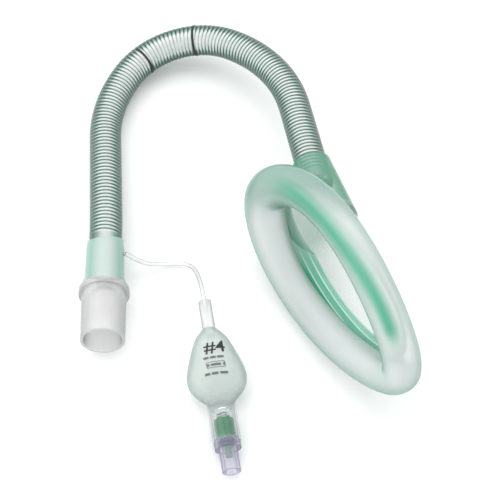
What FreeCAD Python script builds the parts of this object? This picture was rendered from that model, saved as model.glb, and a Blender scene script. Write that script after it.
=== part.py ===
import FreeCAD, Part
import math
import os

# Reinforced laryngeal mask airway, size 4, lying as it comes to rest.
# Millimetres and degrees. +Z is up and the table is Z = 0.
# The tube's centreline is flat: it is drawn in the tube frame, whose Y axis runs from the
# connector's mouth along the tube and whose X axis points to the mask's side of the bend.

V = FreeCAD.Vector
doc = FreeCAD.newDocument("laryngeal_mask_airway")
sheet = doc.addObject("Spreadsheet::Sheet", "sizes")

SIZES = [
    # connector: a 15 mm male cone, a flange, and a shoulder whose top is cut at a slant
    ("cone_length", 18.6),
    ("cone_mouth_radius", 7.55),
    ("cone_taper", 0.025),
    ("cone_wall", 0.95),
    ("cone_wall_growth", 0.35),
    ("funnel_length", 4.5),
    ("flange_radius", 8.75),
    ("flange_thick", 2.0),
    ("flange_step", 0.15),
    ("foot_height", 5.0),
    ("foot_slant", 34.2),
    ("foot_slant_turn", 107.1),
    ("boss_height", 9.0),
    ("spigot_length", 4.8),
    ("spigot_bore", 5.6),
    # reinforced tube and its coil
    ("tube_outer", 11.6),
    ("tube_bore", 7.6),
    ("wire_thick", 0.42),
    ("coil_middle", 9.7),
    ("coil_pitch", 1.55),
    ("coil_start", 42.5),
    ("coil_mask_end", 4.0),
    # the tube's route: runs and turns in order from the sleeve to the mask
    ("leg_start", 43.6),
    ("leg_bow_radius", 400.0),
    ("leg_bow_turn", 1.8),
    ("leg_run", 34.4),
    ("shoulder_radius", 50.4),
    ("shoulder_turn", 34.4),
    ("crown_radius", 28.1),
    ("crown_turn", 91.4),
    ("fall_radius", 54.5),
    ("fall_turn", 46.3),
    ("mask_run", 38.0),
    # machine end sleeve, its heights measured from the connector's mouth
    ("sleeve_end", 41.5),
    ("sleeve_end_slant", 20.6),
    ("sleeve_taper_start", 38.0),
    ("sleeve_foot_radius", 6.95),
    ("sleeve_collar_radius", 6.6),
    ("sleeve_lip_radius", 6.1),
    ("seat_clearance", 0.05),
    ("port_height", 35.4),
    # inflation line
    ("line_outer", 1.5),
    ("line_bore", 0.8),
    ("line_bend", 2.6),
    ("line_aside", 1.1),
    ("line_lift", 2.78),
    ("line_stub", 0.3),
    ("line_tail_turn", 80.0),
    ("line_tail", 9.0),
    # mask: cuff ring, and the bowl behind it
    ("mask_twist", 25.7),
    ("mask_entry", 20.0),
    ("mask_reach", 38.8),
    ("mask_forward", 19.0),
    ("ring_length", 80.8),
    ("ring_half_width", 20.15),
    ("ring_egg", 0.19),
    ("ring_point", 1.14),
    ("tip_back", 1.5),
    ("heel_forward", 1.3),
    ("tip_lean", -1.0),
    ("cuff_side_radius", 6.2),
    ("cuff_heel_radius", 7.4),
    ("cuff_tip_radius", 6.3),
    ("cuff_wall", 0.8),
    ("bowl_depth", 16.5),
    ("bowl_wall", 1.5),
    ("bowl_rim_back", 1.6),
    ("bowl_margin", 2.4),
    ("socket_wall", 1.2),
    ("socket_bevel", 0.4),
    ("socket_length", 9.5),
    ("socket_cone_length", 26.0),
    ("socket_cone_radius", 10.5),
    # where the object lies on the table: its turn, and the connector's mouth
    ("table_turn", 1.5),
    ("mouth_x", -47.6),
    ("mouth_y", -56.0),
    # pilot balloon and its check valve: where the neck's top lies, and how the axis leaves it
    ("balloon_x", -13.62),
    ("balloon_y", -40.33),
    ("balloon_z", 9.1),
    ("balloon_heading", 8.81),
    ("balloon_dip", 4.83),
    # distances along that axis from the neck's top
    ("balloon_start", 11.0),
    ("balloon_end", 38.2),
    ("valve_neck_end", 52.6),
    ("balloon_wall", 0.6),
    ("valve_neck_radius", 4.7),
    ("neck_radius", 2.2),
    ("neck_spigot_radius", 1.6),
    ("neck_spigot_end", 13.4),
    ("neck_socket_depth", 4.0),
    ("housing_start", 39.6),
    ("housing_radius", 4.1),
    ("chamber_radius", 3.38),
    ("chamber_end", 52.9),
    ("valve_flange_radius", 4.4),
    ("valve_flange_end", 55.0),
    ("throat_radius", 1.75),
    ("throat_end", 54.2),
    ("luer_end", 63.0),
    ("luer_radius", 3.1),
    ("luer_bore", 2.0),
    ("luer_mouth_bore", 2.15),
    ("retainer_thick", 1.2),
    ("retainer_hole", 1.4),
    ("plunger_start", 44.7),
    ("plunger_end", 52.0),
    ("plunger_radius", 3.3),
    ("groove_radius", 0.45),
    ("stem_radius", 1.15),
    ("stem_end", 57.8),
    ("seal_radius", 2.6),
    ("seal_end", 52.85),
    ("seal_clearance", 0.02),
    ("spring_radius", 2.3),
    ("spring_wire", 0.3),
    ("spring_turns", 4.0),
]
for row, (name, value) in enumerate(SIZES, start=1):
    sheet.set("A%d" % row, name)
    sheet.set("B%d" % row, str(value))
    sheet.setAlias("B%d" % row, name)
doc.recompute()


def size(name):
    return float(sheet.get(name))


# Lathe-like pieces are stacks of cylinders and cones along Z, bound to the sheet.

def stage(label, start, length, radius, end_radius=None):
    """One cylinder or cone of a stack; every argument is an expression on the sheet."""
    kind = "Part::Cylinder" if end_radius is None else "Part::Cone"
    piece = doc.addObject(kind, label)
    piece.setExpression("Height", length)
    piece.setExpression("Placement.Base.z", start)
    if end_radius is None:
        piece.setExpression("Radius", radius)
    else:
        piece.setExpression("Radius1", radius)
        piece.setExpression("Radius2", end_radius)
    return piece


def joined(label, pieces):
    fuse = doc.addObject("Part::MultiFuse", label)
    fuse.Shapes = pieces
    fuse.Refine = True
    return fuse


def cut_out(label, base, tool):
    cut = doc.addObject("Part::Cut", label)
    cut.Base = base
    cut.Tool = tool
    cut.Refine = True
    return cut


def shape_piece(label, shape):
    """A piece whose shape is worked out below; its place is set by its caller."""
    piece = doc.addObject("Part::Feature", label)
    piece.Shape = shape
    return piece


# The tube's route in the tube frame.

def turn_right(radius, degrees):
    return (radius, degrees)


def turn_left(radius, degrees):
    return (-radius, degrees)


def straight(length):
    return (0.0, length)


def route(start, moves, offset=0.0, lift=0.0):
    """Edges of runs and tangent arcs from start, heading along Y; offset shifts it to the right and lift up.
    Returns the edges, the end point and the end heading in degrees to the right of Y."""
    x, y = start
    heading = 0.0
    edges = []
    for radius, amount in moves:
        ahead = V(math.sin(heading), math.cos(heading), 0)
        right = V(math.cos(heading), -math.sin(heading), 0)
        here = V(x, y, lift)
        if radius == 0.0:
            there = here + ahead * amount
            first, last = here + right * offset, there + right * offset
            edges.append(Part.LineSegment(first, last).toShape())
        else:
            centre = here + right * radius
            side = math.copysign(1.0, radius)
            turn = math.radians(amount) * side
            mid, there = [centre - V(math.cos(heading + t), -math.sin(heading + t), 0) * radius
                          for t in (turn / 2, turn)]
            points = []
            for t, point in ((0.0, here), (turn / 2, mid), (turn, there)):
                aside = V(math.cos(heading + t), -math.sin(heading + t), 0)
                points.append(point + aside * offset)
            edges.append(Part.Arc(*points).toShape())
            heading += turn
        x, y = there.x, there.y
    return edges, V(x, y, lift), math.degrees(heading)


def pipe(edges, radius):
    """A round bar of the given radius along tangent edges."""
    path = Part.Wire(edges)
    start = edges[0].valueAt(edges[0].FirstParameter)
    ahead = edges[0].tangentAt(edges[0].FirstParameter)
    ring = Part.Wire([Part.makeCircle(radius, start, ahead)])
    return path.makePipeShell([ring], True, False)


def coil(points, thickness):
    """Square wire through the points, its sections carried square to each short run."""
    ahead = points[1] - points[0]
    ahead.normalize()
    across = V(0, 0, 1).cross(ahead)
    if across.Length < 0.1:
        across = V(1, 0, 0).cross(ahead)
    across.normalize()
    upright = ahead.cross(across)
    half = thickness / 2
    corners = [points[0] + across * (half * i) + upright * (half * j)
               for i, j in ((1, 1), (-1, 1), (-1, -1), (1, -1), (1, 1))]
    right_corners = 1
    return Part.makePolygon(points).makePipeShell([Part.makePolygon(corners)], True, False, right_corners)


FLANGE_TOP = size("cone_length") + size("flange_thick")
TUBE_START = FLANGE_TOP + size("boss_height")
LEG_START = size("leg_start")
PORT = size("port_height")

BENDS = [
    turn_left(size("leg_bow_radius"), size("leg_bow_turn")),
    straight(size("leg_run")),
    turn_right(size("shoulder_radius"), size("shoulder_turn")),
    turn_right(size("crown_radius"), size("crown_turn")),
    turn_right(size("fall_radius"), size("fall_turn")),
    straight(size("mask_run")),
]
TUBE_MOVES = [straight(LEG_START - TUBE_START)] + BENDS
tube_edges, TUBE_END, END_HEADING = route((0, TUBE_START), TUBE_MOVES)
tube_path = Part.Wire(tube_edges)
print("tube length %.1f mm, turned %.1f degrees" % (tube_path.Length, END_HEADING))

# Frames. The end of the tube points along END_AHEAD, and the mask is set on it.
heading = math.radians(END_HEADING)
END_AHEAD = V(math.sin(heading), math.cos(heading), 0)
END_INSIDE = V(math.cos(heading), -math.sin(heading), 0)
twist = math.radians(size("mask_twist"))
entry = math.radians(size("mask_entry"))
opening_side = END_INSIDE * math.cos(twist) + V(0, 0, 1) * math.sin(twist)
mask_long = END_AHEAD * math.cos(entry) - opening_side * math.sin(entry)
mask_front = END_AHEAD * math.sin(entry) + opening_side * math.cos(entry)
mask_side = mask_front.cross(mask_long)
mask_centre = TUBE_END + mask_long * size("mask_reach") + mask_front * size("mask_forward")


def frame_of(origin, x_axis, y_axis, z_axis):
    matrix = FreeCAD.Matrix(x_axis.x, y_axis.x, z_axis.x, origin.x,
                            x_axis.y, y_axis.y, z_axis.y, origin.y,
                            x_axis.z, y_axis.z, z_axis.z, origin.z,
                            0, 0, 0, 1)
    return FreeCAD.Placement(matrix)


MASK = frame_of(mask_centre, mask_long, mask_side, mask_front)
# Lathe pieces of the machine end turn about Z, which lies along the tube frame's Y.
MACHINE_END = frame_of(V(0, 0, 0), V(1, 0, 0), V(0, 0, -1), V(0, 1, 0))


# Cuff ring: an egg-shaped centreline in the mask frame, and a radius that swells at both ends.

def ring_point(angle):
    """Centre of the cuff's section; angle 0 is the heel end by the tube, 180 the tip."""
    cosine, sine = math.cos(math.radians(angle)), math.sin(math.radians(angle))
    pointed = math.copysign(abs(sine) ** size("ring_point"), sine)
    along = -size("ring_length") / 2 * cosine
    across = size("ring_half_width") * pointed * (1 + size("ring_egg") * cosine)
    if cosine > 0:
        return V(along, across, size("heel_forward") * cosine ** 2)
    return V(along, across + size("tip_lean") * cosine ** 2, -size("tip_back") * cosine ** 2)


def cuff_radius(angle):
    cosine = math.cos(math.radians(angle))
    end = size("cuff_heel_radius") if cosine > 0 else size("cuff_tip_radius")
    return size("cuff_side_radius") + (end - size("cuff_side_radius")) * abs(cosine) ** 3


RING_STATIONS = 24


def cuff_skin(inset):
    """The closed ring, with its radius less by inset."""
    sections = []
    for k in range(RING_STATIONS):
        angle = 360.0 * k / RING_STATIONS
        ahead = ring_point(angle + 1) - ring_point(angle - 1)
        sections.append(Part.Wire([Part.makeCircle(cuff_radius(angle) - inset, ring_point(angle), ahead)]))
    return Part.makeLoft(sections, True, False, True)


# Resting place: the object lies on the connector's flange, the tube's shoulder and the cuff's side.

def resting_frame():
    """World placement of the tube frame, from the plane that touches the three supports."""
    flange_height = FLANGE_TOP - size("flange_thick") / 2
    flange = []
    for k in range(72):
        angle = math.radians(5 * k)
        rim = V(math.cos(angle), 0, math.sin(angle)) * size("flange_radius")
        flange.append((rim + V(0, flange_height, 0), 0.0))
    tube = [(p, size("tube_outer") / 2) for p in tube_path.discretize(Number=120)]
    cuff = [(MASK.multVec(ring_point(5 * k)), cuff_radius(5 * k)) for k in range(72)]
    up = V(0, 0, 1)
    for _ in range(20):
        touching = []
        for group in (flange, tube, cuff):
            centre, radius = min(group, key=lambda item: item[0].dot(up) - item[1])
            touching.append(centre - up * radius)
        normal = (touching[1] - touching[0]).cross(touching[2] - touching[0])
        if normal.z < 0:
            normal = normal * -1
        normal.normalize()
        up = normal
    level_y = V(0, 1, 0) - up * up.y
    level_y.normalize()
    level_x = level_y.cross(up)
    print("rests on", [tuple(round(c, 1) for c in p) for p in touching])
    turned = FreeCAD.Placement(V(0, 0, 0), FreeCAD.Rotation(V(0, 0, 1), size("table_turn"))).multiply(
        frame_of(V(0, 0, 0), level_x, level_y, up).inverse())
    lift = -min(turned.multVec(p).z for p in touching)
    mouth = V(size("mouth_x"), size("mouth_y"), lift)
    return FreeCAD.Placement(mouth, FreeCAD.Rotation()).multiply(turned)


REST = resting_frame()

# Connector: milky one-piece moulding. Z runs from its mouth towards the tube.
cone_top = "(sizes.cone_mouth_radius + sizes.cone_length * sizes.cone_taper / 2)"
flange_top = "(sizes.cone_length + sizes.flange_thick)"
tube_start = "(sizes.cone_length + sizes.flange_thick + sizes.boss_height)"
outside = [
    stage("cone_outside", "0", "sizes.cone_length", "sizes.cone_mouth_radius", cone_top),
    stage("flange_disc", "sizes.cone_length", "sizes.flange_thick", "sizes.flange_radius"),
    stage("tube_stop", flange_top, "sizes.boss_height", "sizes.tube_outer / 2"),
    stage("spigot", tube_start, "sizes.spigot_length", "sizes.tube_bore / 2 - sizes.seat_clearance"),
]

# The shoulder narrows from the flange to a slanted ellipse that the sleeve's foot stands on.
foot_radius = size("sleeve_foot_radius")
foot_rise = foot_radius * math.tan(math.radians(size("foot_slant")))
foot_centre = V(0, 0, FLANGE_TOP + size("foot_height"))
foot_edge = Part.Ellipse(foot_centre + V(foot_radius, 0, foot_rise), foot_centre + V(0, foot_radius, 0),
                         foot_centre).toShape()
flange_edge = Part.makeCircle(size("flange_radius") - size("flange_step"), V(0, 0, FLANGE_TOP), V(0, 0, 1))
FOOT_TURN = FreeCAD.Rotation(V(0, 0, 1), size("foot_slant_turn"))
shoulder_shape = Part.makeLoft([Part.Wire([flange_edge]), Part.Wire([foot_edge])], True, True)
shoulder = shape_piece("slanted_shoulder", shoulder_shape)
shoulder.Placement = FreeCAD.Placement(V(0, 0, 0), FOOT_TURN)

mouth_bore = "(sizes.cone_mouth_radius - sizes.cone_wall)"
deep_bore = "(sizes.cone_mouth_radius - sizes.cone_wall - sizes.cone_wall_growth)"
inside = [
    stage("cone_inside", "0", "sizes.cone_length - sizes.flange_thick", mouth_bore, deep_bore),
    stage("funnel", "sizes.cone_length - sizes.flange_thick", "sizes.funnel_length", deep_bore,
          "sizes.spigot_bore / 2"),
    stage("spigot_inside", "sizes.cone_length", "sizes.flange_thick + sizes.boss_height"
          " + sizes.spigot_length", "sizes.spigot_bore / 2"),
]
connector = cut_out("connector", joined("connector_outside", outside + [shoulder]),
                    joined("connector_inside", inside))

# Machine end sleeve: smooth green moulding over the tube's end. Its foot follows the slanted shoulder,
# and its far end is cut at a slant with the upper side shorter.
END_RISE = size("sleeve_foot_radius") * math.tan(math.radians(size("sleeve_end_slant")))
sleeve_outside = joined("sleeve_outside", [
    stage("sleeve_body", flange_top, "sizes.sleeve_taper_start - sizes.cone_length - sizes.flange_thick",
          "sizes.sleeve_foot_radius", "sizes.sleeve_collar_radius"),
    stage("sleeve_top", "sizes.sleeve_taper_start", "sizes.sleeve_end + %r - sizes.sleeve_taper_start" % END_RISE,
          "sizes.sleeve_collar_radius", "sizes.sleeve_lip_radius"),
])
sleeve_bore = stage("sleeve_bore", "0", "sizes.sleeve_end * 2", "sizes.tube_outer / 2 + sizes.seat_clearance")
BLOCK = 40.0


def slanted_block(label, base, rotation, below):
    """A block whose one face passes through base, square to the rotation's Z; it lies below or above."""
    block = doc.addObject("Part::Box", label)
    block.Length = block.Width = block.Height = BLOCK
    corner = V(-BLOCK / 2, -BLOCK / 2, -BLOCK if below else 0)
    block.Placement = FreeCAD.Placement(base + rotation.multVec(corner), rotation)
    return block


FOOT_SLANT = FOOT_TURN.multiply(FreeCAD.Rotation(V(0, 1, 0), -size("foot_slant")))
END_SLANT = FreeCAD.Rotation(V(1, 0, 0), size("sleeve_end_slant"))
below_foot = slanted_block("below_foot", foot_centre, FOOT_SLANT, True)
above_end = slanted_block("above_end", V(0, 0, size("sleeve_end")), END_SLANT, False)
line_hole = doc.addObject("Part::Cylinder", "line_hole")
line_hole.setExpression("Radius", "sizes.line_outer / 2")
line_hole.setExpression("Height", "sizes.sleeve_foot_radius * 2")
line_hole.Placement = FreeCAD.Placement(V(0, 0, PORT), FreeCAD.Rotation(V(0, 1, 0), 90))
machine_end_sleeve = cut_out("machine_end_sleeve", sleeve_outside,
                             joined("sleeve_cuts", [sleeve_bore, below_foot, above_end, line_hole]))

# Tube: clear green wall with its coil moulded in.
tube_outside = pipe(tube_edges, size("tube_outer") / 2)
tube_inside = pipe(tube_edges, size("tube_bore") / 2)
tube_line_hole = Part.makeCylinder(size("line_outer") / 2, size("tube_outer"), V(0, PORT, 0), V(1, 0, 0))
airway_tube = shape_piece("airway_tube", tube_outside.cut(tube_inside).cut(tube_line_hole))

COIL_STEPS = 10
coil_start = size("coil_start") - TUBE_START
coil_length = tube_path.Length - coil_start - size("coil_mask_end")
turns = int(coil_length / size("coil_pitch"))
middle = tube_path.discretize(Number=(int(tube_path.Length / size("coil_pitch") * COIL_STEPS)))
spacing = tube_path.Length / (len(middle) - 1)
first = int(coil_start / spacing)
coil_points = []
for k in range(turns * COIL_STEPS + 1):
    here, after = middle[first + k], middle[first + k + 1]
    ahead = after - here
    ahead.normalize()
    aside = V(ahead.y, -ahead.x, 0)
    angle = 2 * math.pi * k / COIL_STEPS
    coil_points.append(here + (aside * math.cos(angle) + V(0, 0, 1) * math.sin(angle))
                       * (size("coil_middle") / 2))
reinforcing_wire = shape_piece("reinforcing_wire", coil(coil_points, size("wire_thick")))
print("coil turns", turns)

# The inflation line's held stretch: in at the sleeve's port, along the top of the tube's bore, into the cuff.
aside, raised, bend = size("line_aside"), size("line_lift"), size("line_bend")
port_face = math.sqrt(size("sleeve_foot_radius") ** 2 - (size("line_outer") / 2) ** 2) + size("line_stub")
corner = V(aside + bend, PORT + bend, 0)
entry_edges = [
    Part.LineSegment(V(port_face, PORT, 0), V(aside + bend, PORT, 0)).toShape(),
    Part.Arc(V(aside + bend, PORT, 0), corner - V(1, 1, 0) * (bend * math.sqrt(0.5)),
             V(aside, PORT + bend, 0)).toShape(),
]


def side_step(x, y_first, y_last, rise):
    """Two tangent arcs that climb by rise between y_first and y_last, heading along Y at both ends."""
    half_run, half_rise = (y_last - y_first) / 2, rise / 2
    radius = (half_run ** 2 + half_rise ** 2) / (2 * half_rise)
    half_turn = math.asin(half_run / radius) / 2
    run, climb = radius * math.sin(half_turn), radius * (1 - math.cos(half_turn))
    middle_point = V(x, y_first + half_run, half_rise)
    return [
        Part.Arc(V(x, y_first, 0), V(x, y_first + run, climb), middle_point).toShape(),
        Part.Arc(middle_point, V(x, y_last - run, rise - climb), V(x, y_last, rise)).toShape(),
    ]


held_edges, held_end, _ = route((0, LEG_START), BENDS + [straight(1.0)], aside, raised)
tail_start = held_end + END_INSIDE * aside
tail_centre = tail_start + END_INSIDE * bend
tail_turn = math.radians(size("line_tail_turn"))


def tail_point(angle):
    return tail_centre - END_INSIDE * (bend * math.cos(angle)) + END_AHEAD * (bend * math.sin(angle))


tail_ahead = END_AHEAD * math.cos(tail_turn) + END_INSIDE * math.sin(tail_turn)
tail_end = tail_point(tail_turn) + tail_ahead * size("line_tail")
tail_edges = [
    Part.Arc(tail_start, tail_point(tail_turn / 2), tail_point(tail_turn)).toShape(),
    Part.LineSegment(tail_point(tail_turn), tail_end).toShape(),
]
line_edges = entry_edges + side_step(aside, PORT + bend, LEG_START, raised) + held_edges + tail_edges
line_outside = pipe(line_edges, size("line_outer") / 2)
line_inside = pipe(line_edges, size("line_bore") / 2)
print("line leaves the sleeve at", REST.multVec(V(port_face, PORT, 0)))
print("line ends in the mask frame at", MASK.inverse().multVec(tail_end))

# Cuff and bowl, in the mask frame.
cuff_outer = cuff_skin(0)
cuff_inner = cuff_skin(size("cuff_wall"))
line_in_mask = line_outside.copy()
line_in_mask.transformShape(MASK.inverse().toMatrix(), True)
cuff = shape_piece("cuff", cuff_outer.cut(cuff_inner).cut(line_in_mask))
print("cuff", cuff.Shape.isValid(), len(cuff.Shape.Solids), cuff.Shape.Volume)


def ellipsoid(centre, long_half, side_half, deep_half):
    ball = Part.makeSphere(1.0)
    matrix = FreeCAD.Matrix(long_half, 0, 0, centre.x, 0, side_half, 0, centre.y,
                            0, 0, deep_half, centre.z, 0, 0, 0, 1)
    return ball.transformGeometry(matrix)


tube_end_in_mask = MASK.inverse().multVec(TUBE_END)
tube_ahead_in_mask = MASK.Rotation.inverted().multVec(END_AHEAD)
socket_rim = tube_end_in_mask - tube_ahead_in_mask * size("socket_length")
half_long = size("ring_length") / 2 - size("bowl_margin")
half_wide = size("ring_half_width") - size("bowl_margin")
heel_centre = V(-size("ring_length") * 0.28, 0, -size("bowl_depth") * 0.45)


def bowl_body(wall):
    """Dome and heel together, with their faces drawn in by wall."""
    dome = ellipsoid(V(0, 0, 0), half_long - wall, half_wide - wall, size("bowl_depth") - wall)
    heel = ellipsoid(heel_centre, half_long * 0.48 - wall, half_wide * 0.72 - wall,
                     size("bowl_depth") * 0.75 - wall)
    return dome.fuse(heel)


bevel = size("socket_bevel")
rim_radius = size("tube_outer") / 2 + size("socket_wall")
socket_bevel = Part.makeCone(rim_radius - bevel, rim_radius, bevel, socket_rim, tube_ahead_in_mask)
socket = Part.makeCone(rim_radius, size("socket_cone_radius"), size("socket_cone_length"),
                       socket_rim + tube_ahead_in_mask * bevel, tube_ahead_in_mask)
front_side = Part.makeBox(200, 120, 60, V(-100, -60, -size("bowl_rim_back")))
seat_depth = size("socket_length") + 20
seat = Part.makeCylinder(size("tube_outer") / 2 + size("seat_clearance"), seat_depth,
                         tube_end_in_mask - tube_ahead_in_mask * seat_depth, tube_ahead_in_mask)
lumen = Part.makeCylinder(size("tube_bore") / 2, size("socket_cone_length"),
                          tube_end_in_mask - tube_ahead_in_mask, tube_ahead_in_mask)
bowl_solid = bowl_body(0).fuse(socket.fuse(socket_bevel))
for tool in (bowl_body(size("bowl_wall")), front_side, cuff_outer, seat, lumen, line_in_mask):
    bowl_solid = bowl_solid.cut(tool)
    print("bowl", bowl_solid.isValid(), len(bowl_solid.Solids), [round(s.Volume) for s in bowl_solid.Solids])
bowl = shape_piece("bowl", max(bowl_solid.Solids, key=lambda s: s.Volume))
inflation_line_inner = shape_piece("inflation_line_inner", line_outside.cut(line_inside))

# Pilot balloon and check valve. Z runs along their axis, from the neck's top to the syringe port.
turn = math.radians(size("balloon_heading"))
dip = math.radians(size("balloon_dip"))
valve_ahead = V(math.sin(turn) * math.cos(dip), -math.cos(turn) * math.cos(dip), -math.sin(dip))
valve_side = V(math.cos(turn), math.sin(turn), 0)
BALLOON = frame_of(V(size("balloon_x"), size("balloon_y"), size("balloon_z")), valve_side,
                   valve_ahead.cross(valve_side), valve_ahead)

neck_outside = joined("neck_outside", [
    stage("neck_barrel", "0", "sizes.balloon_start", "sizes.neck_radius"),
    stage("neck_spigot", "sizes.balloon_start", "sizes.neck_spigot_end - sizes.balloon_start",
          "sizes.neck_spigot_radius"),
])
neck_bore = joined("neck_bore", [
    stage("neck_socket", "0", "sizes.neck_socket_depth", "sizes.line_outer / 2 + sizes.seat_clearance"),
    stage("neck_air_way", "0", "sizes.neck_spigot_end", "sizes.line_bore / 2"),
])
balloon_neck_sleeve = cut_out("balloon_neck_sleeve", neck_outside, neck_bore)

# The balloon's sections: distance along the axis, half width, half thickness.
BALLOON_SECTIONS = [
    (11.0, 2.6, 2.6), (12.5, 3.9, 3.2), (14.7, 5.5, 4.1), (18.5, 7.1, 4.9), (22.2, 8.4, 5.6),
    (25.9, 9.5, 6.3), (29.6, 10.0, 6.6), (33.4, 9.0, 6.2), (36.3, 6.6, 5.4), (38.2, 4.7, 4.7),
]


def balloon_skin(inset):
    sections = []
    for along, half_width, half_thick in BALLOON_SECTIONS:
        ring = Part.Ellipse(V(0, 0, along), half_width - inset, half_thick - inset)
        sections.append(Part.Wire([ring.toShape()]))
    return Part.makeLoft(sections, True, False)


balloon_outer = balloon_skin(0)
balloon_inner = balloon_skin(size("balloon_wall")).common(
    Part.makeBox(30, 30, 60, V(-15, -15, size("balloon_start") + size("balloon_wall"))))
valve_neck = Part.makeCylinder(size("valve_neck_radius"), size("valve_neck_end") - size("balloon_end"),
                               V(0, 0, size("balloon_end")))
valve_seat = Part.makeCylinder(size("housing_radius") + size("seat_clearance"),
                               size("valve_neck_end") - size("balloon_end") + 1,
                               V(0, 0, size("balloon_end") - 0.5))
spigot_seat = Part.makeCylinder(size("neck_spigot_radius") + size("seat_clearance"), 4,
                                V(0, 0, size("balloon_start") - 1))
balloon_solid = balloon_outer.fuse(valve_neck)
for tool in (balloon_inner, valve_seat, spigot_seat):
    balloon_solid = balloon_solid.cut(tool)
pilot_balloon = shape_piece("pilot_balloon", balloon_solid)

valve_outside = joined("valve_outside", [
    stage("housing", "sizes.housing_start", "sizes.valve_neck_end - sizes.housing_start", "sizes.housing_radius"),
    stage("valve_flange", "sizes.valve_neck_end", "sizes.valve_flange_end - sizes.valve_neck_end",
          "sizes.valve_flange_radius"),
    stage("luer_port", "sizes.valve_flange_end", "sizes.luer_end - sizes.valve_flange_end",
          "sizes.luer_radius"),
])
valve_inside = joined("valve_inside", [
    stage("chamber", "sizes.housing_start", "sizes.chamber_end - sizes.housing_start", "sizes.chamber_radius"),
    stage("throat", "sizes.chamber_end", "sizes.throat_end - sizes.chamber_end", "sizes.throat_radius"),
    stage("luer_bore", "sizes.throat_end", "sizes.luer_end - sizes.throat_end", "sizes.luer_bore",
          "sizes.luer_mouth_bore"),
])
valve_body = cut_out("valve_body", valve_outside, valve_inside)
valve_retainer = cut_out(
    "valve_retainer",
    stage("retainer_disc", "sizes.housing_start", "sizes.retainer_thick",
          "sizes.chamber_radius - sizes.seat_clearance"),
    stage("retainer_hole", "sizes.housing_start", "sizes.retainer_thick", "sizes.retainer_hole"))

# Plunger: a head with lengthwise grooves that let the air past, and a stem that a syringe pushes.
GROOVES = 8
grooves = []
for k in range(GROOVES):
    angle = 2 * math.pi * k / GROOVES
    foot = V(math.cos(angle), math.sin(angle), 0) * size("plunger_radius")
    grooves.append(Part.makeCylinder(size("groove_radius"), size("plunger_end") - size("plunger_start"),
                                     foot + V(0, 0, size("plunger_start"))))
groove_set = shape_piece("groove_set", Part.makeCompound(grooves))
plunger_blank = joined("plunger_blank", [
    stage("plunger_head", "sizes.plunger_start", "sizes.plunger_end - sizes.plunger_start",
          "sizes.plunger_radius"),
    stage("plunger_stem", "sizes.plunger_end", "sizes.stem_end - sizes.plunger_end", "sizes.stem_radius"),
])
valve_plunger = cut_out("valve_plunger", plunger_blank, groove_set)
valve_seal = cut_out(
    "valve_seal",
    stage("seal_disc", "sizes.plunger_end", "sizes.seal_end - sizes.plunger_end", "sizes.seal_radius"),
    stage("seal_hole", "sizes.plunger_end", "sizes.seal_end - sizes.plunger_end",
          "sizes.stem_radius + sizes.seal_clearance"))

SPRING_STEPS = 12
spring_low = size("housing_start") + size("retainer_thick") + size("spring_wire") / 2 + size("seat_clearance")
spring_high = size("plunger_start") - size("spring_wire") / 2 - size("seat_clearance")
spring_points = []
spring_count = int(size("spring_turns") * SPRING_STEPS)
for k in range(spring_count + 1):
    angle = 2 * math.pi * k / SPRING_STEPS
    along = spring_low + (spring_high - spring_low) * k / spring_count
    spring_points.append(V(math.cos(angle) * size("spring_radius"), math.sin(angle) * size("spring_radius"), along))
valve_spring = shape_piece("valve_spring", coil(spring_points, size("spring_wire")))

# The inflation line's free stretch, from the sleeve's port over the table and up into the balloon's neck.
CORD_POINTS = [
    (-41.45, -20.4, 9.57), (-38.15, -21.45, 7.6), (-34.85, -21.35, 4.9), (-31.15, -20.15, 2.4), (-27.45, -19.15, 1.2),
    (-23.45, -18.85, 1.2), (-19.85, -20.35, 2.6), (-17.55, -23.35, 4.5), (-16.15, -27.55, 6.4), (-15.15, -32.05, 8.1),
    (-14.45, -35.95, 9.1), (-13.77, -39.34, 9.18), (-13.21, -42.95, 8.87),
]
CORNER_SHARE = 0.45


def rounded_route(points):
    """Straight runs joined by tangent arcs that take the same share of the shorter run at each corner."""
    edges = []
    radii = []
    start = points[0]
    for before, here, after in zip(points, points[1:], points[2:]):
        back, onward = before - here, after - here
        setback = CORNER_SHARE * min(back.Length, onward.Length)
        back.normalize()
        onward.normalize()
        half_turn = (math.pi - back.getAngle(onward)) / 2
        radius = setback / math.tan(half_turn)
        inward = back + onward
        inward.normalize()
        arc_start, arc_end = here + back * setback, here + onward * setback
        arc_middle = here + inward * (radius / math.cos(half_turn) - radius)
        edges.append(Part.LineSegment(start, arc_start).toShape())
        edges.append(Part.Arc(arc_start, arc_middle, arc_end).toShape())
        radii.append(radius)
        start = arc_end
    edges.append(Part.LineSegment(start, points[-1]).toShape())
    return edges, radii


cord_edges, cord_radii = rounded_route([V(*p) for p in CORD_POINTS])
cord_length = sum(edge.Length for edge in cord_edges)
print("line radii", [round(r, 1) for r in cord_radii], "length %.1f" % cord_length)
cord_solid = pipe(cord_edges, size("line_outer") / 2)
cord_section = math.pi * size("line_outer") ** 2 / 4
print("line volume over section times length %.3f" % (cord_solid.Volume / (cord_section * cord_length)))
inflation_line = shape_piece("inflation_line", cord_solid)

placements = {
    "airway_tube": REST,
    "reinforcing_wire": REST,
    "inflation_line_inner": REST,
    "cuff": REST.multiply(MASK),
    "bowl": REST.multiply(MASK),
    "connector": REST.multiply(MACHINE_END),
    "machine_end_sleeve": REST.multiply(MACHINE_END),
    "balloon_neck_sleeve": BALLOON,
    "pilot_balloon": BALLOON,
    "valve_body": BALLOON,
    "valve_retainer": BALLOON,
    "valve_spring": BALLOON,
    "valve_plunger": BALLOON,
    "valve_seal": BALLOON,
    "inflation_line": FreeCAD.Placement(),
}
doc.recompute()
for label, place in placements.items():
    doc.getObjectsByLabel(label)[0].Placement = place
doc.recompute()

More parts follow.
